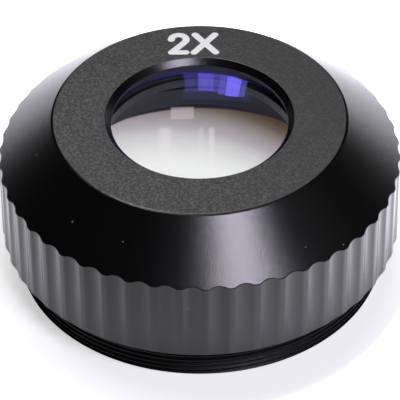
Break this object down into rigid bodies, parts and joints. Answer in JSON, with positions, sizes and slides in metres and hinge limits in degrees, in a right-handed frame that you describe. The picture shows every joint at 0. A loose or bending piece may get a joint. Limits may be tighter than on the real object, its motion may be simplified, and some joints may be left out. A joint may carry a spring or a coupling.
{
  "type": "auxiliary objective lens",
  "caption": "Screw-on auxiliary objective for a stereo microscope: conical nose, fluted grip, male mounting thread and coated glass held by a rear ring.",
  "frame": {"origin": "centre of the thread's end face, on the optical axis, which is the centre of the object's base as it stands", "axes": "+Z along the optical axis from the thread end towards the nose; +Y towards the magnification mark on the nose's face"},
  "size_m": [0.052, 0.052, 0.0227],
  "materials": {
    "black_anodised_aluminium": "black anodised over a fine bead-blasted surface, satin",
    "black_inner_aluminium": "matt black anodised",
    "coated_glass": "polished crown glass with a blue-violet anti-reflection coating",
    "flint_glass": "polished flint glass, cemented to the crown",
    "white_mark_paint": "matt white paint filled into an engraved mark"
  },
  "bodies": {
    "root": {"housing": "black_anodised_aluminium", "front_crown_lens": "coated_glass", "front_flint_lens": "flint_glass", "lens_spacer": "black_inner_aluminium", "rear_lens": "coated_glass", "retaining_ring": "black_inner_aluminium"}
  },
  "joints": []
}
